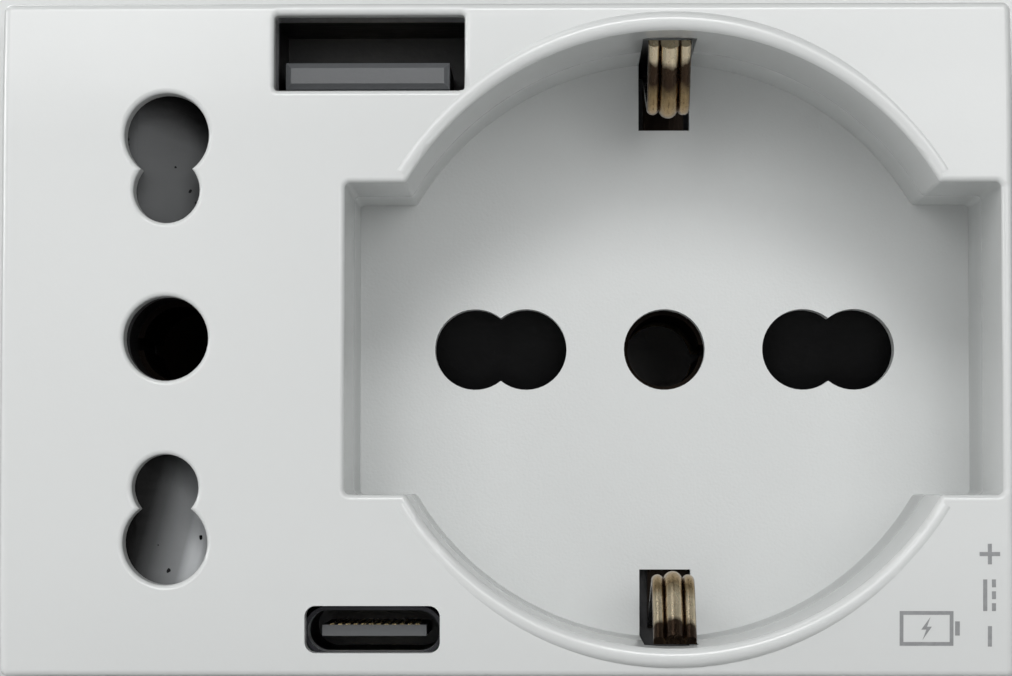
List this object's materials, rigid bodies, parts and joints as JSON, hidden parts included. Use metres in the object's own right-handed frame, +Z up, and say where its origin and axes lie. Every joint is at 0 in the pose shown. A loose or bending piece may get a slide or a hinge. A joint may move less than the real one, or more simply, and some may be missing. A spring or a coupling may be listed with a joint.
{
  "type": "wall socket",
  "caption": "White wall-box insert with an upright round-pin socket, a deep round socket well with side earth clips and two USB charging ports.",
  "frame": {"origin": "centre of the plane at the flange's back, where the part seats on its support frame", "axes": "+X to the right and +Z up as seen from the front, +Y into the wall"},
  "size_m": [0.069, 0.0411, 0.047],
  "materials": {
    "cover_white": "satin",
    "housing_grey": "matte",
    "block_plastic": "matte",
    "shutter_grey": "satin",
    "shutter_dark": "satin",
    "contact_brass": "bare",
    "yoke_brass": "bare, brushed along the strip",
    "spring_steel": "bare",
    "screw_steel": "zinc plated",
    "cage_steel": "zinc plated",
    "shell_steel": "darkened nickel",
    "insulator_grey": "satin",
    "insulator_black": "satin",
    "gold_strip": "gold plated",
    "board_green": "solder resist",
    "ferrite": "matte",
    "coil_tape": "satin",
    "bobbin_plastic": "matte",
    "can_sleeve": "gloss",
    "chip_black": "matte",
    "header_plastic": "matte",
    "pin_tin": "tinned"
  },
  "bodies": {
    "socket": {"assembly_screws": "screw_steel", "charge_controller": "chip_black", "earth_link": "contact_brass", "earth_yoke": "yoke_brass", "front_cover": "cover_white", "input_capacitor": "can_sleeve", "left_block_lid": "block_plastic", "left_contact_block": "block_plastic", "left_earth_contact": "contact_brass", "left_line_contact": "contact_brass", "left_lower_spring": "spring_steel", "left_neutral_contact": "contact_brass", "left_upper_spring": "spring_steel", "link_header": "header_plastic", "link_pins": "pin_tin", "neutral_link": "contact_brass", "output_capacitors": "can_sleeve", "port_board": "board_green", "power_board": "board_green", "rear_housing": "housing_grey", "rectifier": "chip_black", "right_block_lid": "block_plastic", "right_contact_block": "block_plastic", "right_earth_contact": "contact_brass", "right_line_contact": "contact_brass", "right_neutral_contact": "contact_brass", "right_spring": "spring_steel", "transformer_bobbin": "bobbin_plastic", "transformer_core": "ferrite", "transformer_winding": "coil_tape", "usb_a_contacts": "gold_strip", "usb_a_insulator": "insulator_grey", "usb_a_shell": "shell_steel", "usb_c_contacts": "gold_strip", "usb_c_insulator": "insulator_black", "usb_c_shell": "shell_steel"},
    "left_shutter_body": {"left_shutter": "shutter_grey"},
    "right_shutter_body": {"right_shutter": "shutter_dark"},
    "line_cage_body": {"line_terminal_cage": "cage_steel"},
    "earth_cage_body": {"earth_terminal_cage": "cage_steel"},
    "neutral_cage_body": {"neutral_terminal_cage": "cage_steel"},
    "line_screw_body": {"line_terminal_screw": "screw_steel"},
    "earth_screw_body": {"earth_terminal_screw": "screw_steel"},
    "neutral_screw_body": {"neutral_terminal_screw": "screw_steel"}
  },
  "joints": [
    {"name": "left_shutter_slide", "type": "slide", "parent": "socket", "child": "left_shutter_body", "axis": [-1, 0, 0], "range_m": [0, 0.0055], "stiffness_N_per_m": 60, "springref_m": -0.004, "deforming": ["left_upper_spring", "left_lower_spring"]},
    {"name": "right_shutter_slide", "type": "slide", "parent": "socket", "child": "right_shutter_body", "axis": [0, 0, 1], "range_m": [0, 0.006], "stiffness_N_per_m": 60, "springref_m": -0.004, "deforming": ["right_spring"]},
    {"name": "line_screw_turn", "type": "hinge", "parent": "socket", "child": "line_screw_body", "pos_m": [-0.00065, 0.022, 0], "axis": [0, 0, 1], "range_deg": [0, 1800]},
    {"name": "line_cage_slide", "type": "slide", "parent": "socket", "child": "line_cage_body", "axis": [0, 0, 1], "range_m": [-0.003, 0]},
    {"name": "earth_screw_turn", "type": "hinge", "parent": "socket", "child": "earth_screw_body", "pos_m": [0.0106, 0.022, 0], "axis": [0, 0, 1], "range_deg": [0, 1800]},
    {"name": "earth_cage_slide", "type": "slide", "parent": "socket", "child": "earth_cage_body", "axis": [0, 0, 1], "range_m": [-0.003, 0]},
    {"name": "neutral_screw_turn", "type": "hinge", "parent": "socket", "child": "neutral_screw_body", "pos_m": [0.02185, 0.022, 0], "axis": [0, 0, 1], "range_deg": [0, 1800]},
    {"name": "neutral_cage_slide", "type": "slide", "parent": "socket", "child": "neutral_cage_body", "axis": [0, 0, 1], "range_m": [-0.003, 0]}
  ],
  "couplings": [
    {"joint": "line_screw_turn", "follows": "line_cage_slide", "rad_per_m": -10472},
    {"joint": "earth_screw_turn", "follows": "earth_cage_slide", "rad_per_m": -10472},
    {"joint": "neutral_screw_turn", "follows": "neutral_cage_slide", "rad_per_m": -10472}
  ]
}
